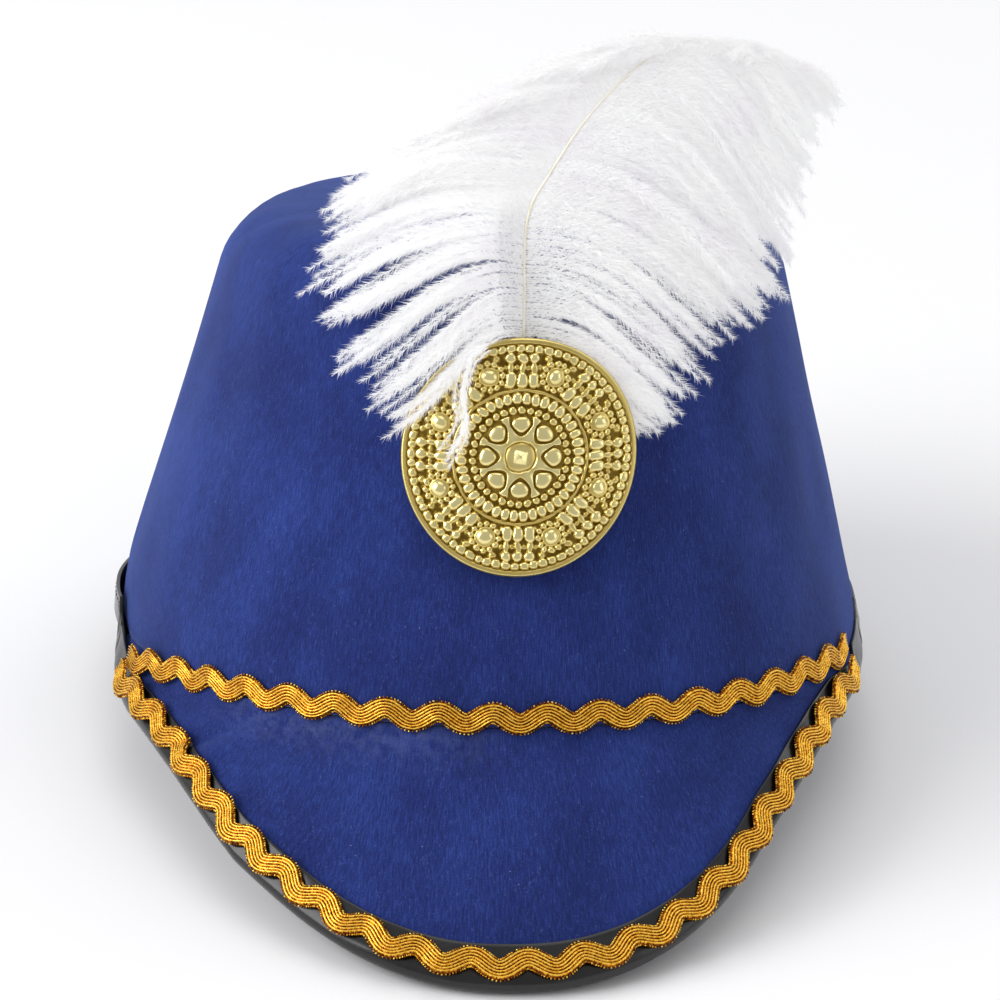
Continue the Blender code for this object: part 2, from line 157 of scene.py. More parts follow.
# Points of the upright hat: angle round it, metres below the rim, metres above the surface.
def skin(angle, along, off=0.0, uneven=True):
    angle, along, off = np.broadcast_arrays(*(np.asarray(given, float) for given in (angle, along, off)))
    if uneven:
        off = off + unevenness(angle, along)
    out, up, steepness = profile(angle, along)
    out = out + off * np.sin(steepness)
    up = up + off * np.cos(steepness)
    low = np.minimum(1 + along / crown["tuckHeight"], 1) ** 2
    tucked = crown["tuck"] * low * (1 - np.sin(np.radians(angle))) / 2
    out = out - np.where(along > -crown["tuckHeight"], tucked, 0)
    points = rimPoint(angle) + rimOutward(angle) * out[..., None]
    points[..., 0] += crown["shiftRight"] * np.maximum(up, 0) / crown["height"]
    points[..., 2] = up
    return points


lean = math.radians(crown["wallLean"])
wallLength = (crown["height"] - crown["shoulder"] * (1 - math.sin(lean))) / math.cos(lean)
arc = crown["shoulder"] * (math.pi / 2 - lean)
crownRise = wallLength + arc + crown["topReach"]


# The same for the whole crown: rise goes from the rim up the wall and over the shoulder to the top's middle.
def crownSkin(angle, rise, off=0.0):
    angle, rise, off = np.broadcast_arrays(*(np.asarray(given, float) for given in (angle, rise, off)))
    points = skin(angle, -np.minimum(rise, wallLength), off)
    facing = lean + np.clip(rise - wallLength, 0, arc) / crown["shoulder"]
    swell = off + unevenness(angle, -rise)
    back = crown["shoulder"] * math.cos(lean) - (crown["shoulder"] + swell) * np.cos(facing)
    lift = (crown["shoulder"] + swell) * np.sin(facing) - crown["shoulder"] * math.sin(lean)
    start = skin(angle, -wallLength, 0, uneven=False)
    over = start - rimOutward(angle) * back[..., None]
    over[..., 2] += lift
    points = np.where((rise > wallLength)[..., None], over, points)
    middle = np.array([crown["shiftRight"], 0, 0])
    share = np.clip(1 - (rise - wallLength - arc) / crown["topReach"], 0, 1)
    flat = share < 1
    points[..., 0] = np.where(flat, middle[0] + (points[..., 0] - middle[0]) * share, points[..., 0])
    points[..., 1] = np.where(flat, points[..., 1] * share, points[..., 1])
    points[..., 2] += np.where(flat, crown["dome"] * (1 - share**2), 0)
    return points


def hexColour(text):
    parts = [int(text[i:i + 2], 16) / 255 for i in (1, 3, 5)]
    return tuple(c / 12.92 if c <= 0.04045 else ((c + 0.055) / 1.055) ** 2.4 for c in parts) + (1.0,)


# A node's first output, or the output given.
def outputOf(source):
    return source.outputs[0] if isinstance(source, bpy.types.Node) else source


# Sets a node's properties and sockets. A socket gets a fixed value, or a link from a node or an output.
def setNode(material, node, settings):
    for key, value in settings.items():
        if isinstance(value, (bpy.types.Node, bpy.types.NodeSocket)):
            material.node_tree.links.new(outputOf(value), node.inputs[key])
        elif isinstance(key, str) and hasattr(node, key) and key not in node.inputs:
            setattr(node, key, value)
        else:
            node.inputs[key].default_value = value
    return node


def addNode(material, kind, settings=None):
    return setNode(material, material.node_tree.nodes.new("ShaderNode" + kind), settings or {})


# Gives a colour ramp its stops, each (place, hex colour).
def setRamp(node, stops):
    band = node.color_ramp
    while len(band.elements) < len(stops):
        band.elements.new(0.5)
    for element, (place, colour) in zip(band.elements, stops):
        element.position = place
        element.color = hexColour(colour)
    return node


def newMaterial(name):
    material = bpy.data.materials.new(name)
    material.use_nodes = True
    return material, material.node_tree.nodes["Principled BSDF"]


# A material whose colour, and bump where there is one, follow a single noise.
def grainMaterial(name, noise, stops, sockets, bump=None):
    material, shader = newMaterial(name)
    place = addNode(material, "TexCoord").outputs["Object"]
    grain = addNode(material, "TexNoise", {**noise, "Vector": place})
    ramp = setRamp(addNode(material, "ValToRGB", {"Fac": grain}), stops)
    setNode(material, shader, {"Base Color": ramp, **sockets})
    if bump:
        setNode(material, shader, {"Normal": addNode(material, "Bump", {**bump, "Height": grain})})
    return material


def addObject(name, data):
    made = bpy.data.objects.new(name, data)
    bpy.context.scene.collection.objects.link(made)
    return made


def finishPiece(name, data, material, slot, *replaced):
    piece = addObject(name, data)
    data.materials.clear()
    data.materials.append(material)
    if isinstance(data, bpy.types.Mesh):
        data.shade_smooth()
    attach(piece, "root")
    for node in replaced:
        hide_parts(node)
    return piece


# A property of all the items of a mesh, a row for each.
def readAll(items, key, width, kind=np.float32):
    flat = np.empty(len(items) * width, kind)
    items.foreach_get(key, flat)
    return flat.reshape(-1, width)


# A grid whose columns and rows are laid out by shape(u, v), both 0 to 1, with a UV map in millimetres.
def sheetMesh(name, columns, rows, shape, uvSize, merge=False, flip=False):
    bm = bmesh.new()
    bmesh.ops.create_grid(bm, x_segments=columns, y_segments=rows, size=0.5, calc_uvs=True)
    mesh = bpy.data.meshes.new(name)
    bm.to_mesh(mesh)
    bm.free()
    flat = readAll(mesh.vertices, "co", 3).astype(float)
    u, v = flat[:, 0] + 0.5, flat[:, 1] + 0.5
    placed = shape(u, v).astype(np.float32)
    mesh.vertices.foreach_set("co", placed.ravel())
    loops = readAll(mesh.loops, "vertex_index", 1, np.int32)[:, 0]
    layer = mesh.uv_layers[0] if mesh.uv_layers else mesh.uv_layers.new(name="inMillimetres")
    layer.name = "inMillimetres"
    coords = np.stack([u[loops] * uvSize[0], v[loops] * uvSize[1]], -1).astype(np.float32)
    layer.data.foreach_set("uv", coords.ravel())
    bm = bmesh.new()
    bm.from_mesh(mesh)
    if merge:
        bmesh.ops.remove_doubles(bm, verts=bm.verts, dist=2e-6)
        bmesh.ops.recalc_face_normals(bm, faces=bm.faces)
    if flip:
        bmesh.ops.reverse_faces(bm, faces=bm.faces)
    bm.to_mesh(mesh)
    bm.free()
    return mesh


# Turns the faces if on the whole they point at a place inside.
def faceOutward(mesh, inside):
    total = 0.0
    for polygon in mesh.polygons:
        total += polygon.area * polygon.normal.dot(polygon.center - inside)
    if total <= 0:
        mesh.flip_normals()


# A sheet's UV at each of its points, in millimetres.
def pointUv(mesh):
    uv = np.empty((len(mesh.vertices), 2), np.float32)
    uv[readAll(mesh.loops, "vertex_index", 1, np.int32)[:, 0]] = readAll(mesh.uv_layers[0].data, "uv", 2)
    return uv


# Keeps a value on each point, for the material to read.
def setValues(mesh, name, values):
    layer = mesh.attributes.new(name, "FLOAT", "POINT")
    layer.data.foreach_set("value", np.asarray(values, np.float32))


def thicken(piece, thickness, rounded=0.0):
    solid = piece.modifiers.new("thickness", "SOLIDIFY")
    solid.thickness = thickness
    solid.offset = -1
    solid.use_even_offset = False
    if rounded:
        bevel = piece.modifiers.new("roundedEdge", "BEVEL")
        bevel.width = rounded
        bevel.segments = 2
        bevel.limit_method = "ANGLE"
        bevel.angle_limit = math.radians(50)


# One mesh from arrays, for many small things. Faces are triangles.
def joinedMesh(name, points, faces, uv=None, tones=None):
    mesh = bpy.data.meshes.new(name)
    mesh.vertices.add(len(points))
    mesh.vertices.foreach_set("co", np.asarray(points, np.float32).ravel())
    mesh.loops.add(faces.size)
    mesh.loops.foreach_set("vertex_index", np.asarray(faces, np.int32).ravel())
    mesh.polygons.add(len(faces))
    mesh.polygons.foreach_set("loop_start", np.arange(0, faces.size, 3, dtype=np.int32))
    mesh.update(calc_edges=True)
    if uv is not None:
        layer = mesh.uv_layers.new(name="inMillimetres")
        layer.data.foreach_set("uv", np.asarray(uv, np.float32)[faces.ravel()].ravel())
    if tones is not None:
        setValues(mesh, "tone", tones)
    return mesh


# Needle-punched polyester felt, moulded: matt, fibres mostly upright, a pale bloom at grazing angles.
feltLook = {
    "deep": "#151f4f", "mid": "#1f2d6b", "light": "#2e438d", "fibre": "#5466a8", "lint": "#a9b2d8",
    "glue": "#5d6793", "sheenTint": "#8aa2ec",
}


# Mixes an output with a fixed colour and returns the result's output.
def mixColour(material, first, second, factor):
    node = addNode(material, "Mix", {"data_type": "RGBA"})
    sockets = {s.identifier: s for s in node.inputs}
    material.node_tree.links.new(outputOf(first), sockets["A_Color"])
    material.node_tree.links.new(outputOf(factor), sockets["Factor_Float"])
    sockets["B_Color"].default_value = hexColour(second)
    return {s.identifier: s for s in node.outputs}["Result_Color"]


def feltMaterial():
    material, shader = newMaterial("mouldedBlueFelt")
    uv = addNode(material, "UVMap", {"uv_map": "inMillimetres"})
    # fibre streaks: 0.3 mm wide and 3 mm long, coarser than the real 0.03 mm so that they show
    place = addNode(material, "Mapping", {"Scale": (3.2, 0.34, 1), "Vector": uv})
    streak = addNode(material, "TexNoise", {
        "Scale": 1.0, "Detail": 4.0, "Roughness": 0.6, "Distortion": 0.6, "Vector": place})
    place = addNode(material, "Mapping", {"Scale": (0.055, 0.035, 1), "Vector": uv})
    cloud = addNode(material, "TexNoise", {"Scale": 1.0, "Detail": 3.0, "Vector": place})
    grain = addNode(material, "TexNoise", {"Scale": 3.2, "Detail": 3.0, "Roughness": 0.65, "Vector": uv})
    blend = addNode(material, "Math", {"operation": "MULTIPLY", 1: 0.25, 0: cloud})
    blend = addNode(material, "Math", {"operation": "MULTIPLY_ADD", 1: 0.30, 0: grain, 2: blend})
    blend = addNode(material, "Math", {"operation": "MULTIPLY_ADD", 1: 0.45, 0: streak, 2: blend})
    ramp = addNode(material, "ValToRGB", {"Fac": blend})
    setRamp(ramp, [(0.39, feltLook["deep"]), (0.50, feltLook["mid"]), (0.63, feltLook["light"])])
    # loose pale fibres, about 0.2 mm wide and curled
    place = addNode(material, "Mapping", {
        "Scale": (1.15, 0.45, 1), "Rotation": (0, 0, 0.35), "Vector": uv})
    loose = addNode(material, "TexNoise", {"Scale": 1.3, "Detail": 2.0, "Distortion": 2.2, "Vector": place})
    looseMask = addNode(material, "MapRange", {
        "From Min": 0.62, "From Max": 0.72, "To Min": 0.0, "To Max": 0.34, "Value": loose})
    colour = mixColour(material, ramp, feltLook["fibre"], looseMask)
    # lint: pale specks up to 0.3 mm across, a few to the square centimetre
    lint = addNode(material, "TexVoronoi", {"Scale": 0.22, "feature": "F1", "Vector": uv})
    speck = addNode(material, "MapRange", {
        "From Min": 0.018, "From Max": 0.034, "To Min": 0.45, "To Max": 0.0, "Value": lint})
    colour = mixColour(material, colour, feltLook["lint"], speck)
    haze = addNode(material, "Attribute", {"attribute_name": "haze"}).outputs["Fac"]
    patch = addNode(material, "TexNoise", {"Scale": 0.30, "Detail": 6.0, "Roughness": 0.65, "Vector": uv})
    patchMask = addNode(material, "MapRange", {
        "From Min": 0.40, "From Max": 0.75, "To Min": 0.0, "To Max": 0.50, "Value": patch})
    mask = addNode(material, "Math", {"operation": "MULTIPLY", 0: haze, 1: patchMask})
    height = addNode(material, "Math", {"operation": "ADD", 0: streak, 1: grain})
    setNode(material, shader, {
        "Base Color": mixColour(material, colour, feltLook["glue"], mask),
        "Normal": addNode(material, "Bump", {"Strength": 0.55, "Distance": 0.00022, "Height": height}),
        "Roughness": addNode(material, "MapRange", {"To Min": 0.82, "To Max": 1.0, "Value": grain}),
        "Specular IOR Level": 0.15, "Sheen Weight": 0.45, "Sheen Roughness": 0.42,
        "Sheen Tint": hexColour(feltLook["sheenTint"]),
    })
    return material


# Keeps on the points how strong the faint dried-glue haze beside the seam's braid is.
def addHaze(mesh):
    x, y, z = ((readAll(mesh.vertices, "co", 3) - np.array(stood["at"])) @ toWorld).T
    angle = np.degrees(np.arctan2(x / crown["halfWidth"], -y / crown["halfLength"]))
    nearBraid = np.exp(-(((z + 0.0025) / 0.0045) ** 2))
    setValues(mesh, "haze", nearBraid * smoothStep(angle, -50, -36) * (1 - smoothStep(angle, -12, 4)))


print("felt crown and peak")
felt = feltMaterial()


def crownShape(u, v):
    return world(crownSkin(u * 360 - 180, v ** crown["rowCurve"] * crownRise))


uvSize = (590, crownRise * 1000)
crownMesh = sheetMesh("feltCrown", crown["columns"], crown["rows"], crownShape, uvSize, merge=True)
faceOutward(crownMesh, Vector(world([0.0, 0.0, 0.05])))
addHaze(crownMesh)
crownPiece = finishPiece("feltCrown", crownMesh, felt, "blue_felt", "crown")
thicken(crownPiece, crown["thick"])


def peakShape(u, v):
    angle = (u * 2 - 1) * peak["halfAngle"]
    depth = gap + (edgeDepth(angle) - peak["edgeGap"] - gap) * v
    return world(skin(angle, depth))


peakMesh = sheetMesh("feltPeak", peak["columns"], peak["rows"], peakShape, (250, 56), flip=True)
addHaze(peakMesh)
peakPiece = finishPiece("feltPeak", peakMesh, felt, "blue_felt", "peak_felt")
thicken(peakPiece, peak["thick"])

# Patent leathercloth strip: black vinyl with a glossy film, sewn on with black thread. It mirrors softly.
binding = {
    "thick": 0.0009, "peakWidth": 0.0093, "peakEndWidth": 0.0075, "rimWidth": 0.0080, "stitchPitch": 0.0034,
    "stitchDiameter": 0.00042, "stitchFromTop": 0.0016, "stitchRadius": 0.0955, "columns": 220, "rows": 26,
    "leftSpread": 0.0010, "rightPress": 0.0009, "blend": 9.0, "wavy": 0.00010, "sunk": 0.00022,
}
ricrac = {
    "width": 0.0050, "thick": 0.0011, "wave": 0.0029, "waveLength": 0.0126, "left": -70.0, "right": 66.0,
    "seamRise": 0.0020, "leftDip": 0.0055, "dipCurve": 5, "peakInset": 0.0042, "peakDrift": 0.0006,
    "climbStart": -54.0, "climbEnd": -62.0, "endClearance": 3.0, "ribs": 6, "film": 0.0004,
    "step": 0.00050, "loopPitch": 0.00050, "loopSize": (0.00034, 0.00024, 0.00032),
}


def seamMiddle(angle):
    sweep = np.maximum(angle / ricrac["left"], 0) ** ricrac["dipCurve"]
    return ricrac["leftDip"] * sweep - ricrac["seamRise"]


# Both braids climb onto the binding before their left end.
def braidLift(angle):
    climbed = (angle - ricrac["climbStart"]) / (ricrac["climbEnd"] - ricrac["climbStart"])
    return (binding["thick"] + gap) * np.clip(climbed, 0, 1)


def peakBraidMiddle(angle):
    return edgeDepth(angle) - ricrac["peakInset"] + ricrac["peakDrift"] * np.sin(np.radians(2 * angle))


def bindingWidth(angle):
    around = np.abs(angle)
    share = np.minimum(around / peak["roundAngle"], 1) ** 2
    width = binding["peakWidth"] + (binding["peakEndWidth"] - binding["peakWidth"]) * share
    low = seamMiddle(np.clip(angle, -80, 80)) + (ricrac["wave"] + ricrac["width"]) / 2
    crossed = (angle >= ricrac["climbEnd"]) & (angle <= ricrac["right"] + ricrac["endClearance"])
    width = np.where(crossed, np.minimum(width, edgeDepth(angle) - low - gap), width)
    return width + (binding["rimWidth"] - width) * smoothStep(
        around, peak["halfAngle"] - binding["blend"], peak["halfAngle"])


# The strip stands off the felt at the left side and is drawn tight at the right.
def bindingSpread(angle):
    left, right = (np.maximum(side * np.sin(np.radians(angle)), 0) ** 12 for side in (-1, 1))
    return binding["leftSpread"] * left - binding["rightPress"] * right


def bindingShape(firstAngle, lastAngle, seed):
    def shape(u, v):
        angle = firstAngle + (lastAngle - firstAngle) * u
        turned = np.where(angle > 180, angle - 360, angle)
        width, depth = bindingWidth(turned), edgeDepth(turned)
        radius = (crown["thick"] + 2 * gap + 2 * binding["thick"]) / 2
        middleAlong = depth + gap + binding["thick"] - radius
        flatLength = width - (radius - gap - binding["thick"])
        arc = math.pi * radius
        path = v * (2 * flatLength + arc)
        bend = np.clip((path - flatLength) / radius, 0, math.pi)
        along = middleAlong + radius * np.sin(bend)
        along = along - np.maximum(flatLength - path, 0) - np.maximum(path - flatLength - arc, 0)
        off = -crown["thick"] / 2 + radius * np.cos(bend)
        soft = ripple(angle * rimPerDegree / 0.011, path / 0.006, seed) * np.sin(np.pi * v) ** 0.5
        row = np.where(np.abs(turned) > peak["halfAngle"], binding["stitchFromTop"], -1)
        sewn = np.exp(-(((path - row) / 0.00045) ** 2))
        off = off + binding["wavy"] * soft - binding["sunk"] * sewn
        off = off + (1 - bend / math.pi) * bindingSpread(turned)
        points = world(skin(turned, along, off))
        points[..., 2] = np.maximum(points[..., 2], 0)
        return points
    return shape


patent, patentShader = newMaterial("blackPatentVinyl")
place = addNode(patent, "TexCoord").outputs["Object"]
pebble = addNode(patent, "TexNoise", {"Scale": 900.0, "Detail": 2.0, "Vector": place})
scuff = addNode(patent, "TexNoise", {"Scale": 120.0, "Detail": 5.0, "Roughness": 0.7, "Vector": place})
ramp = addNode(patent, "ValToRGB", {"Fac": scuff})
setNode(patent, patentShader, {
    "Base Color": setRamp(ramp, [(0.3, "#080707"), (0.62, "#110f10"), (0.8, "#221f20")]),
    "Roughness": addNode(patent, "MapRange", {"To Min": 0.18, "To Max": 0.42, "Value": scuff}),
    "Normal": addNode(patent, "Bump", {"Strength": 0.12, "Distance": 0.0002, "Height": pebble}),
    "IOR": 1.52, "Specular IOR Level": 0.35, "Coat Weight": 0.3, "Coat Roughness": 0.12,
})

print("patent binding and its stitches")
rimStart = peak["halfAngle"] - 0.5
for name, node, first, last, seed in (
    ("peakBinding", "peak_binding", -peak["halfAngle"], peak["halfAngle"], 21),
    ("rimBinding", "rim_binding", rimStart, 360 - rimStart, 22),
):
    shape = bindingShape(first, last, seed)
    mesh = sheetMesh(name, binding["columns"], binding["rows"], shape, (300, 24), flip=True)
    strip = finishPiece(name, mesh, patent, "black_patent", node)
    thicken(strip, binding["thick"], 0.0002)

# Polyester sewing thread, waxed black: matt, each stitch a low rounded ridge.
threadBlack = grainMaterial(
    "blackSewingThread", {"Scale": 2600.0, "Detail": 1.0}, [(0.35, "#0a0a0b"), (0.65, "#2c2b2e")],
    {"Roughness": 0.62}, {"Strength": 0.4, "Distance": 0.0001})

bm = bmesh.new()
sewnAngle = 360 - 2 * rimStart
count = round(2 * math.pi * binding["stitchRadius"] * sewnAngle / 360 / binding["stitchPitch"])
halfStitch = (binding["stitchPitch"] * 0.42, binding["stitchDiameter"] / 2, binding["stitchDiameter"] / 2, 1)
for i in range(count):
    angle = rimStart + sewnAngle * (i + 0.5) / count
    turned = angle - 360 if angle > 180 else angle
    row = edgeDepth(turned) - binding["rimWidth"] + binding["stitchFromTop"]
    lift = gap + binding["thick"] - 0.00012 + float(bindingSpread(turned))
    ends = [world(skin(turned + side, row, lift)) for side in (-0.4, 0.4)]
    ahead = Vector(ends[1] - ends[0]).normalized()
    across = Vector(toWorld @ rimOutward(np.array(turned))).cross(ahead).normalized()
    laid = Matrix((ahead, across, ahead.cross(across))).transposed().to_4x4()
    laid.translation = Vector((ends[0] + ends[1]) / 2)
    laid = laid @ Matrix.Diagonal(halfStitch)
    bmesh.ops.create_uvsphere(bm, u_segments=6, v_segments=5, radius=1.0, matrix=laid)
mesh = bpy.data.meshes.new("bindingStitches")
bm.to_mesh(mesh)
bm.free()
finishPiece("bindingStitches", mesh, threadBlack, "black_patent")

# Lurex ric-rac: gilt metallised film wound on thread, in six ribs. Painted highlights on the ridges, painted
# shade in the hollows, painted glints.
# shadow and hollow are painted shade in the rib hollows, bright is a painted highlight on the ridges
gilding = {"shadow": "#441a04", "hollow": "#94500a", "rib": "#e39c16", "bright": "#ffd65a"}
lurex, lurexShader = newMaterial("giltLurexBraid")
uv = addNode(lurex, "UVMap", {"uv_map": "inMillimetres"})
tone = addNode(lurex, "Attribute", {"attribute_name": "tone"}).outputs["Fac"]
# twill of 0.4 mm and single painted glints of 0.3 mm, about four times as coarse as the film so that they
# show
place = addNode(lurex, "Mapping", {"Rotation": (0, 0, 0.7), "Scale": (2.2, 1.1, 1), "Vector": uv})
twist = addNode(lurex, "TexNoise", {"Scale": 1.6, "Detail": 2.0, "Roughness": 0.6, "Vector": place})
glitter = addNode(lurex, "TexVoronoi", {"Scale": 3.0, "feature": "F1", "Vector": uv})
spark = addNode(lurex, "SeparateColor", {"Color": glitter.outputs["Color"]})
sparkShift = addNode(lurex, "Math", {"operation": "MULTIPLY_ADD", 1: 0.50, 2: -0.22, 0: spark})
twistShift = addNode(lurex, "Math", {"operation": "MULTIPLY_ADD", 1: 0.90, 2: -0.45, 0: twist})
shift = addNode(lurex, "Math", {"operation": "ADD", 0: sparkShift, 1: twistShift})
level = addNode(lurex, "Math", {"operation": "ADD", "use_clamp": True, 0: tone, 1: shift})
ramp = addNode(lurex, "ValToRGB", {"Fac": level})
setRamp(ramp, list(zip((0.08, 0.32, 0.58, 0.88), gilding.values())))
setNode(lurex, lurexShader, {
    "Base Color": ramp, "Metallic": 0.85,
    "Roughness": addNode(lurex, "MapRange", {"To Min": 0.46, "To Max": 0.24, "Value": level}),
    "Normal": addNode(lurex, "Bump", {"Strength": 0.5, "Distance": 0.00012, "Height": shift}),
})


def unitRows(rows):
    return rows / np.linalg.norm(rows, axis=-1, keepdims=True)


# Evenly spaced places along the braid: angle, along and the across direction on the skin, with its length.
def braidRoute(middle, off):
    angles = np.linspace(ricrac["left"], ricrac["right"], 2400)
    points = skin(angles, middle(angles), off + braidLift(angles))
    lengths = np.concatenate([[0], np.cumsum(np.linalg.norm(np.diff(points, axis=0), axis=1))])
    waves = round(lengths[-1] / ricrac["waveLength"])
    ends = [skin(angles + half, middle(angles), off) for half in (0.5, -0.5)]
    scale = np.linalg.norm(ends[0] - ends[1], axis=-1)
    route = unitRows(np.stack([scale, middle(angles + 0.5) - middle(angles - 0.5)], -1))
    across = np.stack([-route[:, 1], route[:, 0]], -1)
    phase = 2 * np.pi * waves * lengths / lengths[-1]
    climb = np.pi * ricrac["wave"] * waves / lengths[-1] * np.sin(phase)
    side = unitRows(across - route * climb[:, None])
    centre = across * (-ricrac["wave"] / 2 * np.cos(phase))[:, None]
    waved = np.stack([angles + centre[:, 0] / scale, middle(angles) + centre[:, 1]], -1)
    track = skin(waved[:, 0], waved[:, 1], off + braidLift(waved[:, 0]))
    true = np.concatenate([[0], np.cumsum(np.linalg.norm(np.diff(track, axis=0), axis=1))])
    return {"angles": angles, "centre": waved, "side": side, "scale": scale, "length": true}


# (angle, along) at a share of the braid's own length, and metres across it.
def braidPlaces(route, share, across):
    at = share * route["length"][-1]
    columns = (*route["centre"].T, *route["side"].T, route["scale"])
    angle, along, aside, down, scale = (np.interp(at, route["length"], column) for column in columns)
    return angle + aside * across / scale, along + down * across


# Height of the ribs across the braid, v from -1 to 1, and their tone from hollow to ridge, for painted shade
# and highlight.
def ribHeight(v):
    rib = np.abs(np.cos(np.pi * (v / 0.90 * ricrac["ribs"] / 2 + (ricrac["ribs"] % 2) / 2 + 0.5)))
    rounded = np.sqrt(np.clip(rib, 0, 1))
    inside = 1 - smoothStep(np.abs(v), 0.86, 1.0)
    return (0.35 + 0.65 * rounded) * (0.35 + 0.65 * inside), rib * inside


def makeBraid(name, node, middle, off, seed):
    route = braidRoute(middle, off)
    own = np.random.default_rng(seed)
    columns = int(route["length"][-1] / ricrac["step"])
    rows = ricrac["ribs"] * 5 + 4
    phases = own.uniform(0, 6.28, 3)

    def wander(share):
        return 0.00012 * np.sin(share * 90 + phases[0]) + 0.00010 * np.sin(share * 230 + phases[1])

    def shape(u, v):
        across = v * 2 - 1
        angle, along = braidPlaces(route, u, across * ricrac["width"] / 2 * 0.94)
        lift = wander(u) * 0.6 + 0.00018 * across**2 + 0.00012 + ricrac["thick"] * ribHeight(across)[0]
        return world(skin(angle, along, off + braidLift(angle) + lift))

    mesh = sheetMesh(name, columns, rows, shape, (route["length"][-1] * 1000, ricrac["width"] * 1000))
    # the rib tone paints shade in the hollows and highlights on the ridges
    tones = ribHeight(pointUv(mesh)[:, 1] / (ricrac["width"] * 500) - 1)[1]
    setValues(mesh, "tone", 0.04 + 0.80 * tones.astype(np.float32))
    faceOutward(mesh, Vector(world([0.0, 0.05, 0.03])))
    band = finishPiece(name, mesh, lurex, "gold_braid", node)
    thicken(band, ricrac["film"])
    # edge loops: the weft turning back along both edges, one small oval a thread pair
    count = int(route["length"][-1] / ricrac["loopPitch"])
    share = (np.arange(count) + 0.5) / count
    ball = bmesh.new()
    bmesh.ops.create_icosphere(ball, subdivisions=1, radius=1.0)
    unit = np.array([v.co for v in ball.verts])
    corners = np.array([[v.index for v in f.verts] for f in ball.faces])
    ball.free()
    points, faces, tones, uvs = [], [], [], []
    for edge in (-1, 1):
        reach = ricrac["width"] / 2 * (0.965 + own.normal(0, 0.010, count))
        angle, along = braidPlaces(route, share, edge * reach)
        height = off + braidLift(angle) + ricrac["thick"] * 0.45 + wander(share)
        middles = skin(angle, along, height)
        ends = [skin(*braidPlaces(route, near, edge * reach), height) for near in (
            np.minimum(share + 0.0006, 1), np.maximum(share - 0.0006, 0))]
        ahead = unitRows(ends[0] - ends[1])
        inward = unitRows(skin(*braidPlaces(route, share, edge * reach * 0.8), height) - middles)
        normal = np.cross(ahead, inward)
        slant = unitRows(ahead * 0.45 + inward * 0.9)
        axes = np.stack([slant, np.cross(normal, slant), normal], 1)
        placed = middles[:, None] + (unit * np.array(ricrac["loopSize"])) @ axes
        start = sum(len(p) for p in points)
        points.append(placed.reshape(-1, 3))
        turn = corners if np.linalg.det(axes[0]) > 0 else corners[:, ::-1]
        faces.append((turn[None] + (np.arange(count) * len(unit))[:, None, None] + start).reshape(-1, 3))
        tones.append(np.repeat(own.choice([0.2, 0.35, 0.55, 0.85], count), len(unit)))
        uvs.append(np.stack([np.repeat(share * 240, len(unit)), np.tile(unit[:, 2], count)], -1))
    points, faces, uvs, tones = (np.concatenate(made) for made in (points, faces, uvs, tones))
    loopsMesh = joinedMesh(name + "Loops", world(points), faces, uvs, tones)
    finishPiece(name + "Loops", loopsMesh, lurex, "gold_braid")


print("ric-rac braid")
onBinding = gap + max(binding["thick"], ricrac["thick"]) + gap
makeBraid("seamBraid", "seam_braid", seamMiddle, gap, 31)
makeBraid("peakBraid", "peak_braid", peakBraidMiddle, onBinding, 32)

# Brass sheet, stamped in relief and lacquered: pale yellow metal, a painted highlight on the tops, brown in
# the hollows partly patina and partly painted shade.
medal = {
    "width": 0.0523, "height": 0.0546, "rise": 0.0620, "angle": 0.7, "standoff": 0.0032, "sheet": 0.0008,
    "relief": 0.0014, "columns": 600, "rows": 148, "face": 0.946,
}
# groove and hollow darken the relief's depths, partly patina and partly painted shade; top is a painted
# highlight
gilt = {"groove": "#5c4513", "hollow": "#a0843a", "mid": "#d6bd6c", "top": "#f8eaa8"}


def aroundScale(angle, along):
    return np.linalg.norm(skin(angle + 0.5, along, 0, False) - skin(angle - 0.5, along, 0, False), axis=-1)


def medalPlace(right, up, off):
    along = -medal["rise"] - up
    scale = aroundScale(np.full_like(along, medal["angle"]), along)
    return skin(medal["angle"] + right / scale, along, off, False)


def ring(radial, at, half):
    return np.sqrt(np.clip(1 - ((radial - at) / half) ** 2, 0, 1))


# A stud round on top and steep at its sides, from its half length, half breadth and squareness.
def stud(x, y, long, broad, power=2.0):
    return np.clip(1 - np.abs(x / long) ** power - np.abs(y / broad) ** power, 0, 1) ** 0.45


# Presses a form into the sheet between two heights.
def press(high, form, low, top):
    return np.maximum(high, np.where(form > 0, low + (top - low) * form, 0))


# The angle from the middle of the nearest of count cells round the disc.
def fromCell(turn, count, offset=0.0):
    cell = 2 * np.pi / count
    return ((turn / cell + offset) % 1 - 0.5) * cell


# studs side by side round a ring, in shares of the radius: bricks, pillows and beads
studRings = [
    {"at": 0.908, "count": 73, "size": (0.034, 0.037), "power": 3.0, "from": 0.34, "to": 0.76},
    {"at": 0.490, "count": 40, "size": (0.052, 0.038), "power": 2.6, "from": 0.36, "to": 0.88},
    {"at": 0.393, "count": 34, "size": (0.036, 0.035), "power": 2.0, "from": 0.22, "to": 0.70},
]
# three columns on the border of each of eight sectors: bead, neck and capsule, small beads beside the neck
medalColumns = {"spacing": 0.098, "studs": [
    {"at": 0.826, "aside": 1.0, "size": (0.046, 0.047), "power": 2.0, "from": 0.32, "to": 0.86},
    {"at": 0.745, "aside": 1.0, "size": (0.048, 0.027), "power": 2.4, "from": 0.28, "to": 0.66},
    {"at": 0.642, "aside": 0.94, "size": (0.068, 0.045), "power": 2.8, "from": 0.34, "to": 0.88},
], "small": {"at": 0.748, "aside": 0.046, "size": (0.024, 0.020), "from": 0.20, "to": 0.52}}
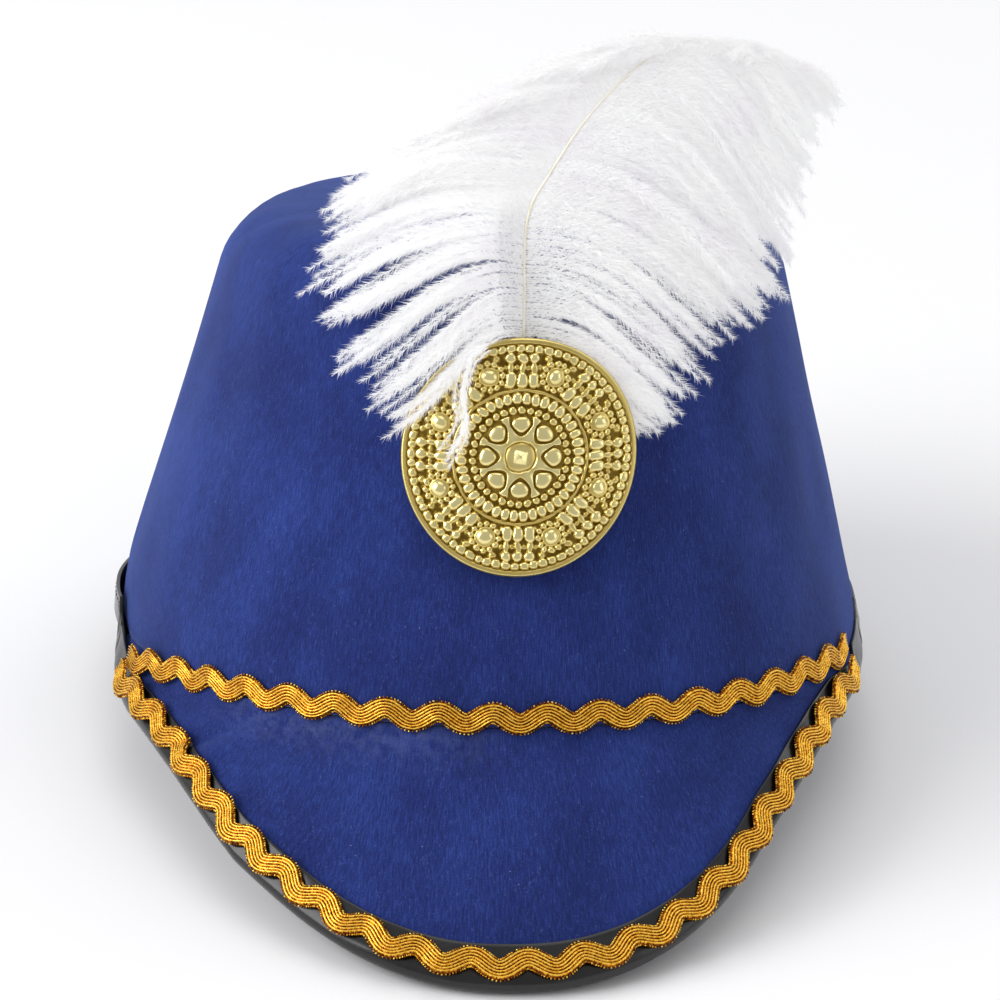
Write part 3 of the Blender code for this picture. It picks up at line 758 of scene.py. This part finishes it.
# a boss in each sector, in a ring of beads, with beads in its corners
boss = {"at": 0.720, "field": 0.142, "ring": 0.066, "ringHalf": 0.019, "size": 0.060, "beads": 12,
        "beadRing": 0.113, "bead": 0.029, "corners": [
            {"at": 0.838, "aside": 0.118, "size": (0.030, 0.034), "from": 0.20, "to": 0.62},
            {"at": 0.602, "aside": 0.112, "size": (0.024, 0.024), "from": 0.20, "to": 0.56}]}
# the middle star: eight heart-shaped bosses, each in a groove, round a dome with a small pyramid
star = {"edge": 0.352, "ridge": 0.045, "heartAt": 0.268, "heart": (0.072, 0.080), "heartFrom": 0.170,
        "groove": 0.096, "field": 0.134, "dome": 0.125, "pyramid": 0.075}


# Height of the stamping, in shares of its depth, at a share of the radius.
def medalRelief(share, turn):
    x, y = share * np.cos(turn), share * np.sin(turn)
    turn = turn + 0.012 * ripple(x * 5, y * 5, 5)
    share = share + 0.005 * ripple(x * 5, y * 5, 6) * (1 - smoothStep(share, 0.88, 0.93))
    high = 0.10 + 0.42 * smoothStep(share, 0.940, 0.955)
    lip = smoothStep(share, 0.968, 0.982) * (1 - 0.5 * smoothStep(share, 0.988, 1.0))
    high = np.maximum(high, 0.66 * lip)
    toBoss, toColumn = fromCell(turn, 8), fromCell(turn, 8, 0.5)
    x, y = share * np.cos(toColumn), share * np.sin(toColumn)
    for side in (-medalColumns["spacing"], 0.0, medalColumns["spacing"]):
        for k in medalColumns["studs"]:
            form = stud(x - k["at"], y - side * k["aside"], *k["size"], k["power"])
            high = press(high, form, k["from"], k["to"])
        k = medalColumns["small"]
        for aside in (-k["aside"], k["aside"]):
            high = press(high, stud(x - k["at"], y - side - aside, *k["size"]), k["from"], k["to"])
    x, y = share * np.cos(toBoss), share * np.sin(toBoss)
    away = np.hypot(x - boss["at"], y)
    high = np.where(away < boss["field"], 0.10, high)
    high = press(high, ring(away, boss["ring"], boss["ringHalf"]), 0.26, 0.58)
    high = press(high, stud(x - boss["at"], y, boss["size"], boss["size"]), 0.34, 0.98)
    for k in range(boss["beads"]):
        a = 2 * np.pi / boss["beads"] * (k + 0.5)
        bx, by = boss["at"] + boss["beadRing"] * np.cos(a), boss["beadRing"] * np.sin(a)
        high = press(high, stud(x - bx, y - by, boss["bead"], boss["bead"]), 0.22, 0.70)
    for side in (-1, 1):
        for k in boss["corners"]:
            high = press(high, stud(x - k["at"], y - side * k["aside"], *k["size"]), k["from"], k["to"])
    high = press(high, ring(share, 0.560, 0.015), 0.26, 0.54)
    for k in studRings:
        bricks = stud(share - k["at"], share * fromCell(turn, k["count"]), *k["size"], k["power"])
        high = press(high, bricks, k["from"], k["to"])
    x, y = share * np.cos(toColumn), share * np.sin(toColumn)
    ridge = np.exp(-((share * toBoss / star["ridge"]) ** 2)) * smoothStep(share, 0.10, 0.22)
    plain = 0.46 + 0.40 * ridge + 0.16 * (1 - smoothStep(share, 0.14, 0.24))
    high = np.where(share < star["edge"], plain, high)
    flare = np.clip((x - star["heartFrom"]) / 0.095, 0, 1) ** 0.6
    high = np.where((share < star["edge"] + 0.004) & (np.abs(y) < star["groove"] * flare), 0.16, high)
    heart = stud(x - star["heartAt"], y / np.maximum(flare, 0.05), *star["heart"], 2.4)
    high = press(high, heart, 0.34, 0.94)
    dome = np.sqrt(np.clip(1 - (share / star["dome"]) ** 2, 0, 1))
    high = np.where(share < star["field"], 0.34 + 0.44 * dome, high)
    x, y = share * np.cos(turn), share * np.sin(turn)
    edges = np.abs(x * 0.80 + y * 0.60) + np.abs(y * 0.80 - x * 0.60)
    return high + 0.40 * np.clip(1 - edges / star["pyramid"], 0, 1)


# One closed sheet: out over the face from its middle, round the lip and back over the flat underside.
def medalShape(u, v):
    turn = u * 2 * np.pi
    under = np.clip((v - medal["face"]) / (1 - medal["face"]), 0, 1)
    share = np.clip(v / medal["face"], 0, 1)
    swell = 0.00035 * smoothStep(share, 0.60, 0.0) - 0.00050 * smoothStep(share, 0.975, 1.0)
    off = medal["sheet"] + medal["relief"] * medalRelief(share, turn) + swell
    off = medal["standoff"] + np.where(under > 0, 0, off)
    share = np.where(under > 0, 1 - under**3, share)
    right, up = medal["width"] / 2 * share * np.cos(turn), medal["height"] / 2 * share * np.sin(turn)
    return world(medalPlace(right, up, off))


brass, brassShader = newMaterial("stampedLacqueredBrass")
place = addNode(brass, "TexCoord").outputs["Object"]
height = addNode(brass, "Attribute", {"attribute_name": "tone"}).outputs["Fac"]
stain = addNode(brass, "TexNoise", {"Scale": 420.0, "Detail": 4.0, "Roughness": 0.6, "Vector": place})
stainShift = addNode(brass, "Math", {"operation": "MULTIPLY_ADD", 1: 0.24, 2: -0.12, 0: stain})
level = addNode(brass, "Math", {"operation": "ADD", "use_clamp": True, 0: height, 1: stainShift})
ramp = addNode(brass, "ValToRGB", {"Fac": level})
# colour by the relief's height: painted shade with some patina low down, a painted highlight on the tops
setRamp(ramp, list(zip((0.05, 0.22, 0.50, 0.85), gilt.values())))
setNode(brass, brassShader, {
    "Base Color": ramp, "Metallic": 1.0,
    "Roughness": addNode(brass, "MapRange", {"To Min": 0.38, "To Max": 0.20, "Value": level}),
    "Normal": addNode(brass, "Bump", {"Strength": 0.15, "Distance": 0.0001, "Height": stain}),
})

print("medallion")
uvSize = (170, 27)
mesh = sheetMesh("medallionDisc", medal["columns"], medal["rows"], medalShape, uvSize, merge=True)
u, v = pointUv(mesh).T
relief = medalRelief(np.clip(v / uvSize[1] / medal["face"], 0, 1), u / uvSize[0] * 2 * np.pi)
# the relief's height is kept as tone, which the colour turns into painted shade and highlight
setValues(mesh, "tone", np.clip(relief, 0, 1))
finishPiece("medallionDisc", mesh, brass, "gilt_metal", "medallion")

# Ostrich plume, bleached white: long soft barbs that arch and hang, each furred with fine barbules.
plume = {
    "length": 0.1020, "bow": 0.0900, "quill": 0.0022, "barbs": 320, "locks": 24, "steps": 14,
    "shaft": 0.00022, "barbuleLength": 0.0031, "barbuleWidth": 0.00013, "barbules": 600,
    "white": "#ffffff", "shade": "#f4eff5",
}
# in shares of the plume's length from the medallion's middle: the quill, and the barbs' tips from below up
quillLine = np.array([
    (0, .12), (0, .33), (0, .53), (.05, .64), (.15, .79), (.28, .91), (.42, .95), (.60, .90)])
leftTips = np.array([
    (-.30, .047), (-.467, .30), (-.467, .52), (-.39, .615),
    (-.20, .755), (.03, .870), (.27, .915), (.60, .895)])
rightTips = np.array([
    (.286, .04), (.375, .129), (.486, .284), (.58, .35), (.62, .45), (.64, .616), (.685, .77), (.73, .84)])
# how a barb leaves the quill and comes to its tip, in shares of its reach, low and high on the plume
barbBends = {
    -1: {"leave": ((-0.30, 0.06), (-0.33, 0.02)), "arrive": ((0.36, 0.20), (0.33, 0.06))},
    1: {"leave": ((0.34, 0.02), (0.34, 0.05)), "arrive": ((-0.26, 0.22), (-0.20, 0.28))},
}


# A smooth curve through a table's points, at shares of its steps.
def tablePoint(table, share):
    at = np.clip(share, 0, 1) * (len(table) - 1)
    i = np.minimum(at.astype(int), len(table) - 2)
    t = (at - i)[..., None]
    a, b, c, d = (table[np.clip(i + k, 0, len(table) - 1)] for k in (-1, 0, 1, 2))
    return 0.5 * (2 * b + (c - a) * t + (2 * a - 5 * b + 4 * c - d) * t**2 + (3 * b - a - 3 * c + d) * t**3)


# Stands flat plume points, in shares of its length, against the crown's wall, bowed back at the sides.
def plumePlace(flat, off):
    foot = medalPlace(np.zeros(1), np.zeros(1), np.full(1, plume["quill"] / 2 + gap))[0]
    upward = np.array([crown["shiftRight"] / crown["height"], math.sin(lean), math.cos(lean)])
    back = np.array([0, math.cos(lean), -math.sin(lean)])
    right, up = flat[..., 0] * plume["length"], flat[..., 1] * plume["length"]
    point = foot + upward * up[..., None] + back * (right**2 / (2 * plume["bow"]) - off)[..., None]
    point[..., 0] += right
    return world(point)


# The middle lines of one side's barbs as (barb, step, 2) shares, and their height off the plume's plane.
def barbCurves(side, own):
    tips = leftTips if side < 0 else rightTips
    count, locks = plume["barbs"], plume["locks"]
    s = np.clip((np.arange(count) + own.uniform(-0.3, 0.3, count)) / (count - 1), 0, 1)
    cuts = (np.arange(1, locks) + own.uniform(-0.38, 0.38, locks - 1)) / locks
    edges = np.concatenate([[0], cuts, [1]])
    lock = np.searchsorted(cuts, s + own.normal(0, 0.004, count))
    rootShare = s if side > 0 else 0.105 + 0.895 * s  # the left barbs all start above the medallion
    root = tablePoint(quillLine, rootShare)
    pulled = s + ((edges[lock] + edges[lock + 1]) / 2 - s) * own.uniform(0.25, 0.85, count)
    tip = tablePoint(tips, pulled)
    reach = np.linalg.norm(tip - root, axis=1, keepdims=True)
    length = own.uniform(0.95, 1.03, locks)[lock] * own.uniform(0.82, 1.02, count)
    tip = root + (tip - root) * length[:, None] + own.normal(0, 0.011, (count, 2))
    high = smoothStep(s, 0.35, 0.8)[:, None]
    (leaveLow, leaveHigh), (arriveLow, arriveHigh) = barbBends[side].values()
    first = root + reach * (np.array(leaveLow) * (1 - high) + np.array(leaveHigh) * high)
    second = tip + reach * (np.array(arriveLow) * (1 - high) + np.array(arriveHigh) * high)
    t = np.linspace(0, 1, plume["steps"])[None, :, None]
    line = root[:, None] * (1 - t) ** 3 + first[:, None] * 3 * t * (1 - t) ** 2
    line = line + second[:, None] * 3 * t**2 * (1 - t) + tip[:, None] * t**3
    line[..., 1] += 0.006 * np.sin(t[..., 0] * 7 + lock[:, None] * 2.1) * t[..., 0]
    run = t[..., 0]
    layer = 0.0003 + run * (own.normal(0, 0.0008, count) + own.normal(0, 0.0009, locks)[lock])[:, None]
    low = 1 - smoothStep(s, 0.12, 0.30)[:, None]
    if side < 0:  # the lowest left locks flop over the medallion's edge, the right ones lie behind it
        return line, layer + low * (0.0052 * smoothStep(run, 0.0, 0.16) - 0.0016 * smoothStep(run, 0.6, 1.0))
    return line, layer * (1 - 0.9 * low)


# Shafts and barbules of these barbs as one mesh. furFrom is where along a barb the fur grows full.
def furBarbs(name, curves, layers, own, furFrom, density=1.0, lengthScale=1.0):
    paths = plumePlace(curves, layers)
    count, steps = paths.shape[:2]
    run = unitRows(np.gradient(paths, axis=1))
    side = unitRows(np.cross(run, world([[0, -1, 0.0]]) - world([[0, 0, 0.0]])))
    front = np.cross(side, run)
    share = np.linspace(0, 1, steps)
    radius = plume["shaft"] / 2 * (1 - 0.6 * share)[None, :, None]
    rings = [paths + radius * (side * math.cos(a) + front * math.sin(a)) for a in (0.5, 2.6, 4.7)]
    shaft = np.stack(rings, 2).reshape(-1, 3)
    base = (np.arange(count)[:, None] * steps + np.arange(steps - 1)[None]).ravel() * 3
    faces = []
    for k in range(3):
        n = (k + 1) % 3
        faces.append(np.stack([base + k, base + 3 + k, base + 3 + n], -1))
        faces.append(np.stack([base + k, base + 3 + n, base + n], -1))
    shaftFaces = np.concatenate(faces)
    # barbules: fine blades from the shaft outward and ahead, mostly in the plume's plane
    lengths = np.linalg.norm(np.diff(paths, axis=1), axis=-1).sum(1)
    each = np.maximum((plume["barbules"] * density * lengths / lengths.mean()).astype(int), 20)
    which = np.repeat(np.arange(count), each)
    total = len(which)
    at = own.uniform(0.0, 0.985, total) ** 1.1
    slot = at * (steps - 1)
    i = np.minimum(slot.astype(int), steps - 2)
    f = (slot - i)[:, None]
    start = paths[which, i] * (1 - f) + paths[which, i + 1] * f
    forward, lateral, outward = run[which, i], side[which, i], front[which, i]
    turn = np.where(own.random(total) < 0.5, 0, np.pi) + own.normal(0, 0.5, total)
    sideways = lateral * np.cos(turn)[:, None] + outward * np.sin(turn)[:, None]
    full = (0.52 + 0.48 * smoothStep(at, 0.02, furFrom)) * (1 - 0.35 * smoothStep(at, 0.85, 1.0))
    long = plume["barbuleLength"] * lengthScale * full * own.uniform(0.5, 1.15, total)
    angle = own.normal(0.52, 0.16, total)
    ahead = forward * np.cos(angle)[:, None] + sideways * np.sin(angle)[:, None]
    ahead = ahead + own.normal(0, 0.10, (total, 3))
    blade = np.cross(ahead, outward + own.normal(0, 0.25, (total, 3)))
    blade = unitRows(blade) * (plume["barbuleWidth"] / 2 * own.uniform(0.7, 1.2, total))[:, None]
    fur = np.stack([start - blade, start + blade, start + ahead * long[:, None]], 1).reshape(-1, 3)
    b = np.arange(total) * 3 + len(shaft)
    furFaces = np.stack([b, b + 1, b + 2], -1)
    tones = np.concatenate([np.full(len(shaft), 0.45), np.repeat(own.random(total), 3)])
    points, faces = np.concatenate([shaft, fur]), np.concatenate([shaftFaces, furFaces])
    finishPiece(name, joinedMesh(name, points, faces, None, tones), feather, "white_feather")


feather, featherShader = newMaterial("bleachedOstrich")
place = addNode(feather, "TexCoord").outputs["Object"]
cloud = addNode(feather, "TexNoise", {"Scale": 60.0, "Detail": 3.0, "Vector": place})
single = addNode(feather, "Attribute", {"attribute_name": "tone"}).outputs["Fac"]
level = addNode(feather, "Math", {"operation": "MULTIPLY_ADD", 1: 0.5, 0: single, 2: cloud})
ramp = addNode(feather, "ValToRGB", {"Fac": level})
setRamp(ramp, [(0.30, plume["shade"]), (0.65, plume["white"])])
setNode(feather, featherShader, {
    "Base Color": ramp, "Roughness": 0.6, "Specular IOR Level": 0.25, "Sheen Weight": 0.3,
    "Emission Color": ramp, "Emission Strength": 0.10,  # a painted glow for the light that the barbs pass on to each other
})
# a third of the light goes through the barbs
through = addNode(feather, "BsdfTranslucent", {"Color": ramp})
both = addNode(feather, "MixShader", {0: 0.30, 1: featherShader, 2: through})
setNode(feather, feather.node_tree.nodes["Material Output"], {"Surface": both})

print("plume")
plumeDice = np.random.default_rng(11)
for side, word in ((-1, "Left"), (1, "Right")):
    curves, layers = barbCurves(side, plumeDice)
    half = plume["barbs"] // 2
    furBarbs(f"plume{word}Low", curves[:half], layers[:half], plumeDice, 0.50)
    furBarbs(f"plume{word}High", curves[half:], layers[half:], plumeDice, 0.45)

# a tuft of barbs that strayed over the medallion's upper left
tuft = np.array([(-.085, .245), (-.118, .215), (-.135, .13), (-.128, .06), (-.165, -.005)])
own = np.random.default_rng(12)
tuftStrands, tuftSteps = 7, 18
t = np.linspace(0, 1, tuftSteps)
strands = []
for _ in range(tuftStrands):
    strands.append(tablePoint(tuft, t) + own.normal(0, 0.006, 2) + np.outer(t, own.normal(0, 0.010, 2)))
overMedal = medal["standoff"] + medal["sheet"] + medal["relief"] + 0.0012  # just clear of the relief
overMedal = np.full((tuftStrands, tuftSteps), overMedal)
furBarbs("plumeTuft", np.array(strands), overMedal, own, furFrom=0.2, density=0.5, lengthScale=0.62)

# The quill: a horny cream shaft, half glossy, thinning to a hair.
quillShares = np.linspace(0, 1, 40)
quillPoints = plumePlace(tablePoint(quillLine, quillShares), np.full(40, 0.0004))
foot = plumePlace(np.array([[0.0, -0.06]]), np.zeros(1))
quillPoints = np.concatenate([foot, quillPoints])
curve = bpy.data.curves.new("quill", "CURVE")
curve.dimensions = "3D"
curve.bevel_depth = 0.00046
curve.bevel_resolution = 3
curve.use_fill_caps = True
spline = curve.splines.new("POLY")
spline.points.add(len(quillPoints) - 1)
for k, point in enumerate(quillPoints):
    spline.points[k].co = (*point, 1)
    spline.points[k].radius = max(1.0 - 0.95 * k / (len(quillPoints) - 1), 0.3)
quill = grainMaterial(
    "creamQuill", {"Scale": 300.0, "Detail": 2.0}, [(0.3, "#efe6cc"), (0.7, "#fffaf0")],
    {"Roughness": 0.38}, {"Strength": 0.1, "Distance": 0.0001})
finishPiece("plumeQuill", curve, quill, "white_feather", "plume")

# Millboard stiffener under the peak, black: a dull fibrous sheet with a faint grain.
boardLook = grainMaterial(
    "blackMillboard", {"Scale": 700.0, "Detail": 5.0, "Roughness": 0.7},
    [(0.3, "#121213"), (0.7, "#29292b")], {"Roughness": 0.82}, {"Strength": 0.4, "Distance": 0.0002})

# Turned brass pad behind the medallion: plain, slightly dulled.
padLook = grainMaterial(
    "plainBrassPad", {"Scale": 500.0, "Detail": 3.0}, [(0.3, "#8a7433"), (0.7, "#c9b06a")],
    {"Metallic": 1.0, "Roughness": 0.4})

for node, look in (("peak_board", boardLook), ("medallion_pad", padLook)):
    for slotUsed in frame["nodes"][node].material_slots:
        slotUsed.material = look

print("floor, light and camera")
bm = bmesh.new()
bmesh.ops.create_circle(bm, cap_ends=True, segments=64, radius=6.0)
mesh = bpy.data.meshes.new("floor")
bm.to_mesh(mesh)
bm.free()
floor = addObject("floor", mesh)
pale, paleShader = newMaterial("paleFloor")
setNode(pale, paleShader, {"Base Color": hexColour("#f4f4f6"), "Roughness": 0.9})
mesh.materials.append(pale)

studio = {"world": 0.50, "key": 30.0, "fill": 3.0, "top": 6.0, "back": 7.0}
backdrop = bpy.data.worlds.new("studio")
bpy.context.scene.world = backdrop
backdrop.use_nodes = True
backdrop.node_tree.nodes["Background"].inputs["Color"].default_value = (1, 1, 1, 1)
backdrop.node_tree.nodes["Background"].inputs["Strength"].default_value = studio["world"]


def softbox(name, power, size, place, aim=(0, 0, 0.07)):
    light = bpy.data.lights.new(name, "AREA")
    light.energy = power
    light.shape = "RECTANGLE"
    light.size, light.size_y = size
    lamp = addObject(name, light)
    lamp.location = place
    lamp.rotation_euler = (Vector(aim) - Vector(place)).to_track_quat("-Z", "Y").to_euler()


softbox("keyLeft", studio["key"], (1.4, 1.4), (-1.6, -0.35, 1.0))
softbox("fillRight", studio["fill"], (0.9, 1.2), (1.4, -0.8, 0.8))
softbox("topBox", studio["top"], (1.2, 1.2), (0.1, 0.2, 1.6))
softbox("backRight", studio["back"], (1.3, 1.3), (1.5, 1.1, 1.2), (0.25, 0.1, 0))

# the camera in the upright hat's frame: where it looks from, and how its picture is shifted by turning it
shot = {
    "turn": -3.0, "rise": 13.5, "roll": 0.82, "distance": 1.0, "aim": (0, 0, 0.05), "right": 0.00286,
    "down": 0.02065, "lens": 144.72,
}
e, a, roll = math.radians(shot["rise"]), math.radians(shot["turn"]), math.radians(shot["roll"])
back = Vector((math.sin(a) * math.cos(e), -math.cos(a) * math.cos(e), math.sin(e)))
right = Vector((math.cos(a), math.sin(a), 0))
up = back.cross(right)
right, up = right * math.cos(roll) + up * math.sin(roll), up * math.cos(roll) - right * math.sin(roll)
eye = Vector(shot["aim"]) + back * shot["distance"]
back = (back - right * shot["right"] + up * shot["down"]).normalized()
right = up.cross(back).normalized()
up = back.cross(right)
turn = Matrix.Rotation(stood["lean"], 3, "X")
camera = addObject("camera", bpy.data.cameras.new("camera"))
placed = (turn @ Matrix((right, up, back)).transposed()).to_4x4()
placed.translation = turn @ eye + Vector(stood["at"])
camera.matrix_world = placed
camera.data.lens = shot["lens"]
camera.data.sensor_width = 36.0
camera.data.clip_start = 0.01
bpy.context.scene.camera = camera
bpy.context.scene.view_settings.view_transform = "Standard"

print("done")
